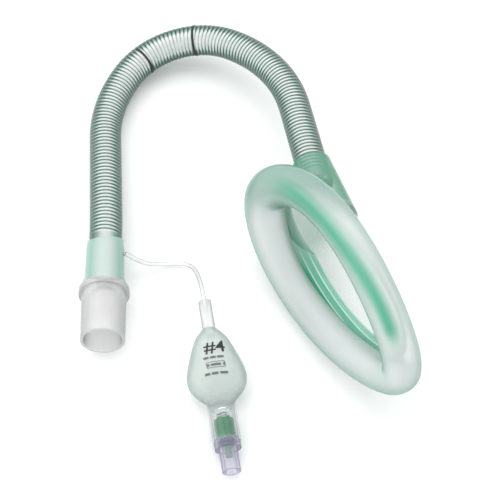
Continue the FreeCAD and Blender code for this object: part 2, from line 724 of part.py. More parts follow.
os.makedirs("parts", exist_ok=True)
for item in doc.Objects:
    if "Invalid" in item.State or "Error" in item.State:
        raise RuntimeError("%s failed: %s" % (item.Label, item.State))
for label in placements:
    shape = doc.getObjectsByLabel(label)[0].Shape
    if shape.isNull() or not shape.isValid():
        raise RuntimeError("%s has no valid shape" % label)
    print("%-22s solids %d faces %4d volume %8.1f" % (label, len(shape.Solids), len(shape.Faces), shape.Volume))
    shape.exportStep("parts/%s.step" % label)
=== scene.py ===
# %% [markdown]
# # Reinforced laryngeal mask airway
# A clear green tube with a steel coil in its wall carries an inflated oval mask at one end and a milky
# connector at the other. A thin line runs to a pilot balloon with a check valve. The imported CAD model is
# the frame and most of its pieces are shown as they are. This lesson adds the camera, the light, the
# materials, the limp line, the film of the cuff, the coil, the ribbed tube and the printed marks.

# %% Setup
import math

import bmesh
import bpy
from mathutils import Matrix, Vector
from mathutils.kdtree import KDTree


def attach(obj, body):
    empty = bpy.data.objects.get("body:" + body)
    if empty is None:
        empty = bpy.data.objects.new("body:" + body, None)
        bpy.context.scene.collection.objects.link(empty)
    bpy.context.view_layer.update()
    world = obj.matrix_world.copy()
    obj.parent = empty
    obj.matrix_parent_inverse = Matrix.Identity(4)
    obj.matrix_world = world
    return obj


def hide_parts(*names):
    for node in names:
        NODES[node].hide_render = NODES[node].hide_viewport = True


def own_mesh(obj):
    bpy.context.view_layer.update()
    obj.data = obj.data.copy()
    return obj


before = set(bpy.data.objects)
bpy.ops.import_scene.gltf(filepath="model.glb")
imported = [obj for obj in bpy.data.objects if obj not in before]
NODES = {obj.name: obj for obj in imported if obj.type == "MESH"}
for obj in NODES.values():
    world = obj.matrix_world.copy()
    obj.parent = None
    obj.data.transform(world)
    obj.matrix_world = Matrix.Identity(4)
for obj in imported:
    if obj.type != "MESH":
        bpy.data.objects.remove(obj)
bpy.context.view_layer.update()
MM = 0.001
print("CAD nodes:", ", ".join(sorted(NODES)))

# %% [markdown]
# ## Camera
# The photograph was taken from above at a slant, with little perspective. A camera could be moved by eye
# until the picture fits, but then the object's sizes would be guesses too. Here the sizes come from the
# CAD model, and the distance, the slant and the lens are those with which its outline fits the picture.

# %% Camera
TARGET = Vector((1.87, -19.3, 10.0)) * MM
ELEVATION = math.radians(55)
DISTANCE = 600 * MM
camera_data = bpy.data.cameras.new("photo_camera")
camera_data.sensor_width = 36.0
camera_data.lens = 124.2
camera_data.clip_start = 0.01
camera = bpy.data.objects.new("photo_camera", camera_data)
camera.location = TARGET + Vector((0, -math.cos(ELEVATION), math.sin(ELEVATION))) * DISTANCE
camera.rotation_euler = (math.pi / 2 - ELEVATION, 0, 0)
bpy.context.collection.objects.link(camera)
bpy.context.scene.camera = camera
print("camera at", tuple(round(c, 3) for c in camera.location))

# %% [markdown]
# ## The free stretch of the inflation line
# A limp clear tube of 1.5 mm leaves the sleeve's port, sinks to the table and climbs into the balloon's
# neck. A mesh could be swept along it, but a NURBS curve with a round bevel stays smooth and is easy to
# lay anew. Its control points are the route of the CAD model in millimetres.

# %% Inflation line
LINE_POINTS = [
    (-41.45, -20.4, 9.57), (-38.15, -21.45, 7.6), (-34.85, -21.35, 4.9), (-31.15, -20.15, 2.4),
    (-27.45, -19.15, 1.2), (-23.45, -18.85, 1.2), (-19.85, -20.35, 2.6), (-17.55, -23.35, 4.5),
    (-16.15, -27.55, 6.4), (-15.15, -32.05, 8.1), (-14.45, -35.95, 9.1), (-13.77, -39.34, 9.18),
    (-13.21, -42.95, 8.87),
]
LINE_RADIUS = 0.75
line_curve = bpy.data.curves.new("inflation_tubing", "CURVE")
line_curve.dimensions = "3D"
line_curve.bevel_depth = 1.0
line_curve.bevel_resolution = 4
line_curve.resolution_u = 8
line_curve.use_fill_caps = True
spline = line_curve.splines.new("NURBS")
spline.points.add(len(LINE_POINTS) - 1)
for point, place in zip(spline.points, LINE_POINTS):
    point.co = (*(c * MM for c in place), 1.0)
    # The box round a curve takes in each point's radius, so the real radius stands here, not in the bevel.
    point.radius = LINE_RADIUS * MM
spline.order_u = 3
spline.use_endpoint_u = True
inflation_tubing = bpy.data.objects.new("inflation_tubing", line_curve)
bpy.context.collection.objects.link(inflation_tubing)
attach(inflation_tubing, "airway")
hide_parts("inflation_line")
runs = zip(LINE_POINTS, LINE_POINTS[1:])
print("route of %.1f mm" % sum(math.dist(a, b) for a, b in runs))

# %% [markdown]
# ## Colours and nodes
# Colours are written as sRGB codes, the way a picture program shows them, and a renderer counts in linear
# light. One function turns the one into the other. Two more keep the node trees below short.


# %% Colours and nodes
def linear(code):
    """The linear colour of an sRGB code such as "#80a0ff"."""
    parts = [int(code[i:i + 2], 16) / 255 for i in (1, 3, 5)]
    return tuple(c / 12.92 if c <= 0.04045 else ((c + 0.055) / 1.055) ** 2.4 for c in parts) + (1.0,)


def add_node(tree, kind, **inputs):
    """One shader node with its inputs set; a value that is a socket is linked."""
    node = tree.nodes.new(kind)
    for name, value in inputs.items():
        socket = node.inputs[name.replace("_", " ")]
        if isinstance(value, bpy.types.NodeSocket):
            tree.links.new(value, socket)
        else:
            socket.default_value = value
    return node


def largest(tree, *sockets):
    """The largest of several values."""
    result = sockets[0]
    for socket in sockets[1:]:
        node = tree.nodes.new("ShaderNodeMath")
        node.operation = "MAXIMUM"
        tree.links.new(result, node.inputs[0])
        tree.links.new(socket, node.inputs[1])
        result = node.outputs[0]
    return result


print("half grey in linear light: %.3f" % linear("#808080")[0])

# %% [markdown]
# ## World
# The light in the photograph is bright and comes from all sides. Many lamps could give that, but a plain
# grey-white world is softer and quicker. Where the camera looks past the object, or a gloss or a clear
# wall shows the surroundings, the world is plain white.

# %% World
scene = bpy.context.scene
scene.view_settings.view_transform = "Standard"
world = bpy.data.worlds.new("studio")
world.use_nodes = True
scene.world = world
tree = world.node_tree
tree.nodes.clear()
rays = tree.nodes.new("ShaderNodeLightPath")
seen = largest(tree, rays.outputs["Is Camera Ray"], rays.outputs["Is Glossy Ray"],
               rays.outputs["Is Transmission Ray"])
soft = add_node(tree, "ShaderNodeBackground", Color=linear("#f4f6f6"), Strength=0.98)
white = add_node(tree, "ShaderNodeBackground", Color=(1, 1, 1, 1), Strength=1.0)
mix = add_node(tree, "ShaderNodeMixShader", Fac=seen)
tree.links.new(soft.outputs[0], mix.inputs[1])
tree.links.new(white.outputs[0], mix.inputs[2])
output = tree.nodes.new("ShaderNodeOutputWorld")
tree.links.new(mix.outputs[0], output.inputs["Surface"])
print("world strength: %.2f" % soft.inputs["Strength"].default_value)

# %% [markdown]
# ## Lamps and ground
# The highlights on the photographed tube are long and soft. Two large lamps give them: the key lamp stands
# behind the object and high up, the side lamp is weak and stands at its left. The object lies on a white
# ground, which takes its soft shadow.

# %% Lamps and ground
LAMP_HEIGHT_SHARE = 0.6


def soft_lamp(name, place, width, power):
    """A lamp that looks at the object: its place and width in metres, its power in watts."""
    lamp_data = bpy.data.lights.new(name, "AREA")
    lamp_data.shape = "RECTANGLE"
    lamp_data.size = width
    lamp_data.size_y = width * LAMP_HEIGHT_SHARE
    lamp_data.energy = power
    lamp = bpy.data.objects.new(name, lamp_data)
    lamp.location = place
    lamp.rotation_euler = (TARGET - Vector(place)).to_track_quat("-Z", "Y").to_euler()
    bpy.context.collection.objects.link(lamp)


soft_lamp("key_lamp", (-0.05, 0.35, 0.85), width=1.3, power=4.4)
soft_lamp("side_lamp", (-0.65, -0.15, 0.45), width=0.8, power=1.2)

GROUND_HALF_SIDE = 2.0
# The ground lies a little lower than the object, so that the two don't flicker where they touch.
GROUND_DROP = 0.1
ground_mesh = bpy.data.meshes.new("ground")
shape = bmesh.new()
bmesh.ops.create_grid(shape, x_segments=1, y_segments=1, size=GROUND_HALF_SIDE)
bmesh.ops.translate(shape, verts=shape.verts, vec=(0, 0, -GROUND_DROP * MM))
shape.to_mesh(ground_mesh)
shape.free()
ground = bpy.data.objects.new("ground", ground_mesh)
bpy.context.collection.objects.link(ground)
print("lamps:", len(bpy.data.lights))

# %% [markdown]
# ## Values in a node tree
# Many colours here depend on a place or a slant. Painted pictures could hold them, but nodes need no picture
# and stay sharp close up: a blend of two colours, a ramp between two values, and a distance along an axis.


# %% Values in a node tree
def fill(tree, socket, value):
    """Set a socket from a number, an sRGB code, another socket, or a function that makes one of them."""
    if callable(value):
        value = value(tree)
    if isinstance(value, str):
        value = linear(value)
    if isinstance(value, bpy.types.NodeSocket):
        tree.links.new(value, socket)
    else:
        socket.default_value = value


def blend(tree, share, first, second):
    """The first colour where the share is 0, and the second where it is 1."""
    node = tree.nodes.new("ShaderNodeMix")
    node.data_type = "RGBA"
    for number, value in ((0, share), (6, first), (7, second)):
        fill(tree, node.inputs[number], value)
    return node.outputs[2]


def ramp(tree, value, first, last, low=0.0, high=1.0):
    """A value between first and last, stretched to run from low to high and held there beyond them."""
    node = add_node(tree, "ShaderNodeMapRange", Value=value, From_Min=first, From_Max=last)
    fill(tree, node.inputs["To Min"], low)
    fill(tree, node.inputs["To Max"], high)
    return node.outputs[0]


def place_along(start, axis, first, last, low=0.0, high=1.0):
    """A value that runs from low to high between two distances along an axis, in millimetres."""
    def make(tree):
        place = tree.nodes.new("ShaderNodeTexCoord").outputs["Object"]
        offset = add_node(tree, "ShaderNodeVectorMath")
        offset.operation = "SUBTRACT"
        tree.links.new(place, offset.inputs[0])
        offset.inputs[1].default_value = Vector(start) * MM
        share = tree.nodes.new("ShaderNodeVectorMath")
        share.operation = "DOT_PRODUCT"
        tree.links.new(offset.outputs[0], share.inputs[0])
        share.inputs[1].default_value = axis
        return ramp(tree, share.outputs["Value"], first * MM, last * MM, low, high)
    return make


print("helpers for values:", [helper.__name__ for helper in (fill, blend, ramp, place_along)])

# %% [markdown]
# ## Solid and see-through materials
# Nearly every piece is a clear or frosted plastic. A clear wall is see-through where it is looked at
# straight, and dense and coloured where it is looked at edge-on, because the eye then looks through more of
# it. Refraction could show that, but a hollow piece of many thin walls turns dark with it. So Layer Weight
# gives the slant, as it does for glass, and the opacity comes through Alpha, which also lets the lamps
# shine through the walls and keeps the shadows light.


# %% Solid and see-through materials
def solid(name, code, roughness, metallic=0.0, grain=0.5, relief=0.004):
    """A material that can't be seen through; its grain and the grain's relief are in millimetres."""
    material = bpy.data.materials.new(name)
    material.use_nodes = True
    tree = material.node_tree
    shader = tree.nodes["Principled BSDF"]
    fill(tree, shader.inputs["Base Color"], code)
    shader.inputs["Metallic"].default_value = metallic
    place = tree.nodes.new("ShaderNodeTexCoord").outputs["Object"]
    noise = add_node(tree, "ShaderNodeTexNoise", Vector=place, Scale=1 / (grain * MM), Detail=3.0)
    tree.links.new(ramp(tree, noise.outputs["Fac"], 0.3, 0.7, roughness * 0.85, roughness * 1.15),
                   shader.inputs["Roughness"])
    uneven = add_node(tree, "ShaderNodeBump", Height=noise.outputs["Fac"], Distance=relief * MM)
    tree.links.new(uneven.outputs[0], shader.inputs["Normal"])
    return material


def slant(tree):
    """0 where a wall is looked at straight, 1 where it is looked at edge-on."""
    return add_node(tree, "ShaderNodeLayerWeight", Blend=0.5).outputs["Facing"]


def bands(tree, value, colours):
    """The colour at a value, from pairs of a value and a colour code in rising order."""
    node = tree.nodes.new("ShaderNodeValToRGB")
    lowest, highest = colours[0][0], colours[-1][0]
    tree.links.new(ramp(tree, value, lowest, highest), node.inputs["Fac"])
    stops = node.color_ramp.elements
    while len(stops) < len(colours):
        stops.new(0.5)
    for stop, (at, code) in zip(stops, colours):
        stop.position = (at - lowest) / (highest - lowest)
        stop.color = linear(code)
    return node.outputs["Color"]


def see_through(name, code, edge_code, opacity, edge_opacity, roughness=0.12, slants=(0.1, 0.8),
                relief=0.002):
    """A clear wall: its colour and opacity looked at straight and edge-on, between two slants."""
    material = solid(name, "#ffffff", roughness, relief=relief)
    tree = material.node_tree
    shader = tree.nodes["Principled BSDF"]
    share = ramp(tree, slant(tree), *slants)
    fill(tree, shader.inputs["Base Color"], blend(tree, share, code, edge_code) if edge_code else code)
    fill(tree, shader.inputs["Alpha"], ramp(tree, slant(tree), *slants, opacity, edge_opacity))
    return material


print("helpers for materials:", [helper.__name__ for helper in (solid, slant, bands, see_through)])

# %% [markdown]
# ## Greens of the tube
# The wall is painted white over each turn of the coil, a painted highlight of the steel inside it, and
# darker between two turns, a painted shade. Both turn dark green towards the tube's sides, partly because
# the wall is seen edge-on there and partly as painted shade. A picture round the tube could show that. Here
# a value kept on the mesh
# says how near a turn is, and each of its ends has its own bands of colour from straight on to edge-on.
# The coil lies inside the wall, so the outermost wall is clear and pale again.


# %% Greens of the tube
def crest(tree):
    """The share on the tube's mesh: 1 over a turn of the coil, painted highlight; 0 between turns, painted
    shade.
    """
    node = tree.nodes.new("ShaderNodeAttribute")
    node.attribute_name = "crest"
    return node.outputs["Fac"]


# a slant and the wall's colour there: over a turn a painted highlight of the coil, between turns painted
# shade
HIGHLIGHT_OVER_A_TURN = ((0.0, "#ffffff"), (0.18, "#ffffff"), (0.32, "#94b1a7"), (0.5, "#47695e"), (1.0, "#42645a"))
SHADE_BETWEEN_TURNS = ((0.0, "#c6d8d1"), (0.14, "#9fbcb2"), (0.26, "#234a3e"), (0.5, "#0f3026"),
                 (1.0, "#2e5547"))


def tube_face(tree):
    """The colour of the tube's outer wall, with painted highlights over the turns and painted shade between.
    """
    return blend(tree, ramp(tree, crest(tree), 0.05, 0.6), bands(tree, slant(tree), SHADE_BETWEEN_TURNS),
                 bands(tree, slant(tree), HIGHLIGHT_OVER_A_TURN))


print("bands on the tube:", len(HIGHLIGHT_OVER_A_TURN), "over a turn,", len(SHADE_BETWEEN_TURNS), "between turns")

# %% [markdown]
# ## Greens of the bowl
# The bowl is one moulding of uneven thickness. Its thick rim, which is bonded to the cuff, is green with two
# bright lines, its thin floor is nearly colourless, and its heel and socket are thick and green again. It
# could be cut into pieces with a material each. Bands by the depth behind the cuff's middle plane and a
# blend along the mask keep it one piece, as it is.

# %% Greens of the bowl
# the mask's own frame, from the CAD model
MASK_CENTRE = (29.15, -42.47, 25.71)
MASK_SIDE = (0.2487, 0.1133, 0.9619)
MASK_LONG = (0.5044, -0.8630, -0.0288)
MASK_FRONT = (-0.8268, -0.4924, 0.2718)
# a depth in metres and the wall's colour there
BOWL_GREENS = ((-0.0120, "#fafdfc"), (-0.0088, "#eaf6f1"), (-0.0083, "#43b08d"), (-0.0073, "#7cc8ae"),
               (-0.0070, "#eefaf5"), (-0.0067, "#5fbb9c"), (-0.0052, "#6fc2a6"), (-0.0049, "#e3f5ee"),
               (-0.0045, "#2f9f78"), (0.0, "#2f9f78"))
# the depths in millimetres between which the rim becomes dense, the distances along the mask between which
# the heel ends, and the slants between which the heel becomes dark
RIM_DEPTH = (-8.8, -8.3)
HEEL_EDGE = (-24.0, -14.0)
HEEL_SLANTS = (0.2, 0.65)
HEEL_SHARE = place_along(MASK_CENTRE, MASK_LONG, *HEEL_EDGE, 1.0, 0.0)


def bowl_face(tree):
    """The colour of the bowl where it is looked at straight."""
    depth = place_along(MASK_CENTRE, MASK_FRONT, -12, 0, -0.012, 0.0)(tree)
    heel = blend(tree, ramp(tree, slant(tree), *HEEL_SLANTS), "#93c3b1", "#12805a")
    return blend(tree, HEEL_SHARE, bands(tree, depth, BOWL_GREENS), heel)


def bowl_opacity(tree):
    """The opacity of the bowl where it is looked at straight."""
    rim = place_along(MASK_CENTRE, MASK_FRONT, *RIM_DEPTH, 0.06, 0.8)(tree)
    heel = tree.nodes.new("ShaderNodeMath")
    heel.operation = "MULTIPLY"
    fill(tree, heel.inputs[0], HEEL_SHARE)
    fill(tree, heel.inputs[1], ramp(tree, slant(tree), *HEEL_SLANTS, 0.3, 0.9))
    return largest(tree, rim, heel.outputs[0])


print("bands on the bowl:", len(BOWL_GREENS))

# %% [markdown]
# ## Tints of the cuff
# The cuff is a thin frosted film, nearly white. At its upper end, towards the raised side, it is darker and
# grey-green: partly the bowl's thick green heel behind it, partly painted shade. The bowl's green flange
# glows through it along the raised side. The real glow comes from behind the film; a tint on the film shows
# it without many layers of milky walls. Where it lies is kept on the mesh.


# %% Tints of the cuff
def flange(tree):
    """The share kept on the film's mesh: 1 where the bowl's green flange glows through the cuff."""
    node = tree.nodes.new("ShaderNodeAttribute")
    node.attribute_name = "flange"
    return node.outputs["Fac"]


# the way to the raised side of the heel, and the distances that way between which the film darkens, with
# the heel's green and painted shade
HEEL_CORNER = (Vector(MASK_SIDE) - Vector(MASK_LONG)).normalized()
HEEL_CORNER_EDGE = (20.0, 33.0)


def film_face(tree):
    """The colour of the film where it is looked at straight; darker at the heel, partly by painted shade."""
    # the heel's green together with painted shade, towards the raised side of the heel
    heel_green_and_shade = place_along(MASK_CENTRE, HEEL_CORNER, *HEEL_CORNER_EDGE, 0.0, 1.0)
    return blend(tree, flange, blend(tree, heel_green_and_shade, "#f4f7f7", "#b9cdc6"), "#58b294")


def film_opacity(tree):
    """The opacity of the film where it is looked at straight."""
    return ramp(tree, flange(tree), 0.0, 1.0, 0.36, 0.85)


print("the cuff darkens towards", tuple(round(c, 2) for c in HEEL_CORNER))

# %% [markdown]
# ## Materials of the pieces
# Each piece has the material it is made of. Two of them change along the piece: the balloon is frosted, but
# its neck is clear where it holds the valve, and the valve's housing is dense only from its flange on. One
# blend along the valve's axis does that in each, so no piece is cut in two.

# %% Materials of the pieces
# the balloon's axis: the top of its neck, and the way to the valve
NECK_TOP = Vector((-13.62, -40.33, 9.1))
VALVE_AHEAD = Vector((0.152614, -0.984692, -0.0842))
# where the balloon ends in its clear neck, and where the housing's flange begins, along the axis
CLEAR_NECK = (NECK_TOP, VALVE_AHEAD, 36, 40)
FLANGE_START = (NECK_TOP, VALVE_AHEAD, 51, 52)
MATERIALS = {
    # clear green soft PVC, moulded over the coil
    "airway_tube": see_through("clear_green_pvc", tube_face, None, 0.55, 0.92, 0.12, (0.1, 0.4)),
    # bright drawn stainless steel
    "reinforcing_wire": solid("coil_steel", "#e6e9e9", 0.22, 1.0),
    # semi-frosted green soft PVC
    "machine_end_sleeve": see_through("frosted_sleeve_pvc", "#f1f4f3", "#93b8ac", 0.6, 0.95, 0.25,
                                      (0.02, 0.45), 0.01),
    # milky translucent polypropylene
    "connector": see_through("milky_polypropylene", "#fdfafa", "#a3a9a7", 0.25, 0.85, 0.25,
                             (0.05, 0.7), 0.01),
    # thin frosted soft PVC, blown to a film
    "cuff": see_through("frosted_cuff_pvc", film_face, "#649a88", film_opacity, 0.95, 0.12,
                        (0.2, 0.85), 0.01),
    # clear green soft PVC
    "bowl": see_through("clear_bowl_pvc", bowl_face, "#0b7a53", bowl_opacity, 0.92, 0.1, (0.52, 0.95)),
    # clear soft PVC tubing
    "inflation_line_inner": see_through("clear_line_pvc", "#ffffff", "#7a8180", 0.3, 0.95, 0.2,
                                        (0.2, 0.8)),
    # clear soft PVC, a thicker sleeve
    "balloon_neck_sleeve": see_through("neck_sleeve_pvc", "#f8faf9", "#98a19f", 0.3, 0.85, 0.2,
                                       (0.15, 0.7)),
    # frosted soft PVC film; the neck that holds the valve is clear
    "pilot_balloon": see_through("frosted_balloon_pvc", "#dfe8e4", "#7b9389",
                                 place_along(*CLEAR_NECK, 0.35, 0.02), place_along(*CLEAR_NECK, 0.85, 0.25),
                                 0.25, (0.2, 0.9), 0.01),
    # clear violet-tinted polycarbonate, thickest at the flange
    "valve_body": see_through("clear_violet_polycarbonate", "#d9d7ec", "#4d4775",
                              place_along(*FLANGE_START, 0.02, 0.16), place_along(*FLANGE_START, 0.2, 0.85),
                              0.1, (0.2, 0.8)),
    # dark green acetal
    "valve_plunger": solid("dark_green_acetal", "#3a7d57", 0.35),
    # black nitrile rubber
    "valve_seal": solid("black_rubber", "#26242c", 0.5),
}
# pieces that are made of the same material as another
SHARED = {"valve_retainer": "valve_body", "valve_spring": "reinforcing_wire"}
for name, node in NODES.items():
    if node.type != "MESH":
        continue
    source = SHARED.get(name, name)
    if source in MATERIALS:
        node.data.materials.clear()
        node.data.materials.append(MATERIALS[source])
line_curve.materials.append(MATERIALS["inflation_line_inner"])

# white matt paper
ground_mesh.materials.append(solid("white_ground", "#ffffff", 0.9))
# A line of sight crosses up to four skins of each hollow piece, and several pieces lie behind each other.
SKINS_IN_A_ROW = 32
scene.cycles.transparent_max_bounces = SKINS_IN_A_ROW
print("materials:", len(MATERIALS))

# %% [markdown]
# ## Glow along the cuff
# The cuff is a closed ring, and the ring's middle line is the formula of the CAD model. A place on the film
# is told by two angles: one along the ring, from the heel over the raised side to the tip, and one round
# the ring's section, from its innermost line over the front. The glow of the flange is a soft stripe in
# these two angles. It could be modelled as the flange behind the film, but its outline would be too hard.

# %% Glow along the cuff
RING_HALF_LENGTH = 40.4
RING_HALF_WIDTH = 20.15
RING_EGG = 0.19
RING_SHARPNESS = 1.14
# All of the glow is in degrees: its place round the section near the heel and near the tip, where along the
# ring it moves from the one to the other, its half width, full and faded, and where along the ring it comes
# up and fades out.
GLOW_SECTION = (103, 140)
GLOW_WINDS = (60, 145)
GLOW_FULL, GLOW_FADED = 2, 54
GLOW_FIRST = (14, 62)
GLOW_LAST = (138, 156)


def ring_middle(angle):
    """The middle of the cuff's section in the mask's frame; 0 is the heel, 180 the tip."""
    cosine, sine = math.cos(math.radians(angle)), math.sin(math.radians(angle))
    across = RING_HALF_WIDTH * math.copysign(abs(sine) ** RING_SHARPNESS, sine) * (1 + RING_EGG * cosine)
    return Vector((-RING_HALF_LENGTH * cosine, across, 0))


def smooth_step(value, first, last):
    """0 up to the first value and 1 from the last on, with a soft start and end between them."""
    share = min(max((value - first) / (last - first), 0), 1)
    return share * share * (3 - 2 * share)


def flange_share(place, angle):
    """How far the flange glows through the film, from 0 to 1, for a place in the mask's frame."""
    middle = ring_middle(angle)
    ahead = ring_middle(angle + 1) - ring_middle(angle - 1)
    inward = Vector((-ahead.y, ahead.x, 0)).normalized()
    if inward.dot(middle) > 0:
        inward = -inward
    offset = place - middle
    round_section = math.degrees(math.atan2(offset.z, offset.dot(inward)))
    first, last = GLOW_SECTION
    middle_of_glow = first + (last - first) * smooth_step(angle, *GLOW_WINDS)
    away = abs((round_section - middle_of_glow + 180) % 360 - 180)
    return ((1 - smooth_step(away, GLOW_FULL, GLOW_FADED)) * smooth_step(angle, *GLOW_FIRST)
            * (1 - smooth_step(angle, *GLOW_LAST)))


print("glow beside the raised side's middle: %.2f" % flange_share(ring_middle(90) + Vector((0, 1, 6)), 90))

# %% [markdown]
# ## Film of the cuff
# The film is the CAD cuff itself. It could be shown as it is, but the bowl lies against it, and two
# see-through skins in one place flicker. So it is a copy that stands a little proud of the cuff, and each
# of its points keeps how strong the glow is there.

# %% Film of the cuff
MASK_FRAME = Matrix((MASK_LONG, MASK_SIDE, MASK_FRONT))
FILM_LIFT = 0.06
SAME_POINT = 0.001
RING_STEPS = 240
ring_tree = KDTree(RING_STEPS)
for k in range(RING_STEPS):
    ring_tree.insert(ring_middle(360 * k / RING_STEPS), k)
ring_tree.balance()

film = bmesh.new()
film.from_mesh(NODES["cuff"].data)
bmesh.ops.remove_doubles(film, verts=film.verts, dist=SAME_POINT * MM)
bmesh.ops.recalc_face_normals(film, faces=film.faces)
film.normal_update()
flange_layer = film.verts.layers.float.new("flange")
for vert in film.verts:
    place = MASK_FRAME @ (vert.co / MM - Vector(MASK_CENTRE))
    nearest = ring_tree.find(place)[1]
    vert[flange_layer] = flange_share(place, 360 * nearest / RING_STEPS)
    vert.co += vert.normal * FILM_LIFT * MM
for face in film.faces:
    face.smooth = True
film_mesh = bpy.data.meshes.new("cuff_film")
film.to_mesh(film_mesh)
film.free()
film_mesh.materials.append(MATERIALS["cuff"])
cuff_film = bpy.data.objects.new("cuff_film", film_mesh)
bpy.context.collection.objects.link(cuff_film)
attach(cuff_film, "airway")
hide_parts("cuff")
print("film faces:", len(film_mesh.polygons))

# %% [markdown]
# ## Coil
# A round steel wire turns inside the tube's wall and keeps it open where it bends. The route of the tube is
# walked in its own frame: the left leg, three bends and the run into the mask. An array of rings bent along
# a curve would be close, but a curve whose points turn about the route is the real helix. Its wire is drawn
# 0.6 mm across and not 0.42 mm, because the wall magnifies it in the photograph.

# %% Coil
MOUTH = Vector((-47.6, -56.0, 9.4295))
TUBE_FRAME = Matrix((
    (0.981893, -0.026161, -0.187619),
    (0.032248, 0.999045, 0.029465),
    (0.186669, -0.034981, 0.981800),
))
TUBE_START = 29.6
# the radius and degrees of each bend; a negative radius turns left, and radius 0 is a straight run in mm
TUBE_MOVES = [(0, 14.0), (-400.0, 1.8), (0, 34.4), (50.4, 34.4), (28.1, 91.4), (54.5, 46.3), (0, 38.0)]


def along_tube(distance):
    """The point and heading of the tube's centreline in its frame, at millimetres from the tube's start."""
    x, y, heading = 0.0, TUBE_START, 0.0
    for radius, amount in TUBE_MOVES:
        length = amount if radius == 0 else abs(radius) * math.radians(amount)
        part = min(distance, length)
        if radius == 0:
            x += math.sin(heading) * part
            y += math.cos(heading) * part
        else:
            turned = heading + part / radius
            x += radius * (math.cos(heading) - math.cos(turned))
            y += radius * (math.sin(turned) - math.sin(heading))
            heading = turned
        distance -= part
        if distance <= 0:
            break
    return Vector((x, y, 0)), heading


def on_tube(distance, radius, angle):
    """A point in metres at that radius and angle round the tube's centreline; angle 0 is inside the bend."""
    middle, heading = along_tube(distance)
    aside = Vector((math.cos(heading), -math.sin(heading), 0))
    spot = middle + (aside * math.cos(angle) + Vector((0, 0, 1)) * math.sin(angle)) * radius
    return (MOUTH + TUBE_FRAME @ spot) * MM


COIL_RADIUS = 4.85
COIL_FIRST = 12.9
COIL_LAST = 214.1
COIL_TURNS = 129
STEPS_PER_TURN = 16
WIRE_RADIUS = 0.3
coil_curve = bpy.data.curves.new("steel_coil", "CURVE")
coil_curve.dimensions = "3D"
coil_curve.bevel_depth = WIRE_RADIUS * MM
coil_curve.bevel_resolution = 1
coil_spline = coil_curve.splines.new("POLY")
coil_spline.points.add(COIL_TURNS * STEPS_PER_TURN)
for k, point in enumerate(coil_spline.points):
    distance = COIL_FIRST + (COIL_LAST - COIL_FIRST) * k / (COIL_TURNS * STEPS_PER_TURN)
    point.co = (*on_tube(distance, COIL_RADIUS, 2 * math.pi * k / STEPS_PER_TURN), 1.0)
coil_curve.materials.append(MATERIALS["reinforcing_wire"])
steel_coil = bpy.data.objects.new("steel_coil", coil_curve)
bpy.context.collection.objects.link(steel_coil)
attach(steel_coil, "airway")
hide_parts("reinforcing_wire")
print("coil points:", len(coil_spline.points))

# %% [markdown]
# ## Tube
# The soft wall sinks a little between the turns of the coil, so the outside is faintly ribbed. A bump in the
# material could hint at that, but the ribs show on the outline, so they are real. A flat grid is wrapped
# round the route, once with the ribs outside and once as the smooth bore, and the ends are bridged. Each
# point keeps how near it is to a turn of the coil, from which the material takes its bands of painted
# highlight and painted shade.

# %% Tube
OUTER_RADIUS = 5.8
RIB_DEPTH = 0.14
BORE_RADIUS = 3.8
TUBE_LENGTH = sum(amount if radius == 0 else abs(radius) * math.radians(amount)
                  for radius, amount in TUBE_MOVES)
RING_POINTS = 28
PITCH = (COIL_LAST - COIL_FIRST) / COIL_TURNS
RINGS_PER_TURN = 8
BORE_RINGS = 200
# Everything this near to the start of the centreline belongs to the tube's first end.
END_REACH = 7


def crest_share(distance, angle):
    """1 over a turn of the coil and 0 midway between two turns; 0.5 where there is no coil."""
    if not COIL_FIRST <= distance <= COIL_LAST:
        return 0.5
    return 0.5 + 0.5 * math.cos(2 * math.pi * (distance - COIL_FIRST) / PITCH - angle)


def sweep(shape, rings, radius_at, material_number):
    """A skin round the tube's line; radius_at gives the radius at a distance and an angle."""
    crest = shape.verts.layers.float.get("crest") or shape.verts.layers.float.new("crest")
    grid = bmesh.ops.create_grid(shape, x_segments=rings, y_segments=RING_POINTS, size=0.5)
    for vert in grid["verts"]:
        distance = (vert.co.x + 0.5) * TUBE_LENGTH
        angle = (vert.co.y + 0.5) * 2 * math.pi
        vert[crest] = crest_share(distance, angle)
        vert.co = on_tube(distance, radius_at(distance, angle), angle)
        for face in vert.link_faces:
            face.material_index = material_number


def ribbed_radius(distance, angle):
    """The outside of the wall, highest over each turn of the coil."""
    return OUTER_RADIUS - RIB_DEPTH * (1 - crest_share(distance, angle))


def bore_radius(distance, angle):
    """The inside of the wall, which is smooth."""
    return BORE_RADIUS


wall = bmesh.new()
rings = int(TUBE_LENGTH / PITCH * RINGS_PER_TURN)
sweep(wall, rings, ribbed_radius, 0)
sweep(wall, BORE_RINGS, bore_radius, 1)
bmesh.ops.remove_doubles(wall, verts=wall.verts, dist=SAME_POINT * MM)
ends = [edge for edge in wall.edges if edge.is_boundary]
near_start = [e for e in ends if (e.verts[0].co - on_tube(0, 0, 0)).length < END_REACH * MM]
bmesh.ops.bridge_loops(wall, edges=near_start)
bmesh.ops.bridge_loops(wall, edges=[e for e in ends if e not in near_start])
bmesh.ops.recalc_face_normals(wall, faces=wall.faces)
for face in wall.faces:
    face.smooth = True
wall_mesh = bpy.data.meshes.new("ribbed_tube")
wall.to_mesh(wall_mesh)
wall.free()
ribbed_tube = bpy.data.objects.new("ribbed_tube", wall_mesh)
bpy.context.collection.objects.link(ribbed_tube)
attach(ribbed_tube, "airway")
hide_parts("airway_tube")
wall_mesh.materials.append(MATERIALS["airway_tube"])
# the same clear green soft PVC, thinner inside the coil
wall_mesh.materials.append(see_through("clear_bore_pvc", "#eaf5f0", "#9cc8b8", 0.05, 0.3))
print("tube rings:", rings, "faces:", len(wall_mesh.polygons))

# %% [markdown]
# ## Depth marks
# Two black rings of print show how far the tube is in. They could be painted by the tube's material, but as
# thin bands of their own they stay sharp and can be left off. Each goes only part of the way round.

# %% Depth marks
# black printing ink
INK = solid("black_ink", "#1c1f20", 0.5)


